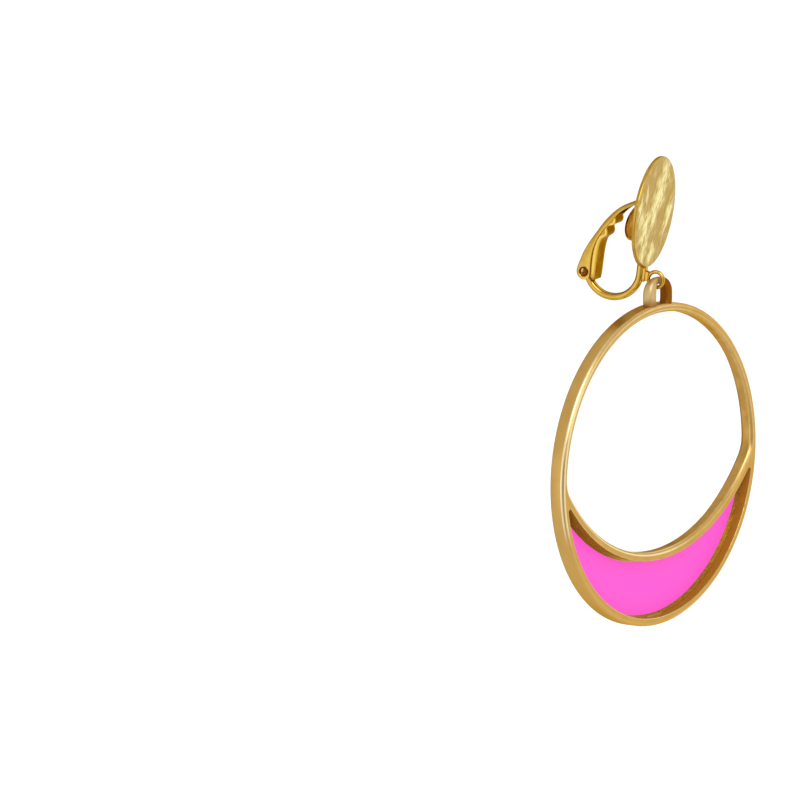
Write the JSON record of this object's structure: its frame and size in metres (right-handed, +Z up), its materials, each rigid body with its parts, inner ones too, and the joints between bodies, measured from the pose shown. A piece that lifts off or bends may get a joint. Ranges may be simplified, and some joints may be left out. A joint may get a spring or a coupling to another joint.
{
  "type": "clip-on drop earring",
  "caption": "Clip-on earring: hammered disc on a sprung lever clip, with an oval hoop hanging from its eye and a pink enamel crescent in the hoop.",
  "frame": {"origin": "top of the ear pad's dome, where the lobe is clamped", "axes": "+Z up, along the hanging hoop; the hoop faces -Y; +X across the hoop; the clip and its disc are turned 14.5 degrees about Z and lean 6.6 degrees against the hoop, as pictured"},
  "size_m": [0.0644, 0.0175, 0.0889],
  "materials": {
    "hammered_gold": "hammered and burnished, gold plated",
    "polished_gold": "polished, gold plated",
    "lever_gold": "polished, gold plated",
    "leaf_gold": "rolled, gold plated",
    "rivet_gold": "dished ends, gold plated",
    "satin_gold": "satin, gold plated",
    "pink_enamel": "flat hot pink enamel"
  },
  "bodies": {
    "clip": {"hammered_disc": "hammered_gold", "clip_frame": "polished_gold"},
    "lever": {"clip_lever": "lever_gold", "leaf_spring": "leaf_gold", "pivot_rivet": "rivet_gold"},
    "hoop": {"hoop_frame": "satin_gold", "enamel_inlay": "pink_enamel"}
  },
  "joints": [
    {"name": "lever_hinge", "type": "hinge", "parent": "clip", "child": "lever", "pos_m": [-0.00186, 0.00721, -0.00865], "axis": [-0.9681, -0.2504, 0], "range_deg": [0, 100]},
    {"name": "hoop_swing", "type": "hinge", "parent": "clip", "child": "hoop", "pos_m": [0.00148, -0.00596, -0.00987], "axis": [1, 0, 0], "range_deg": [-150, 33]}
  ]
}
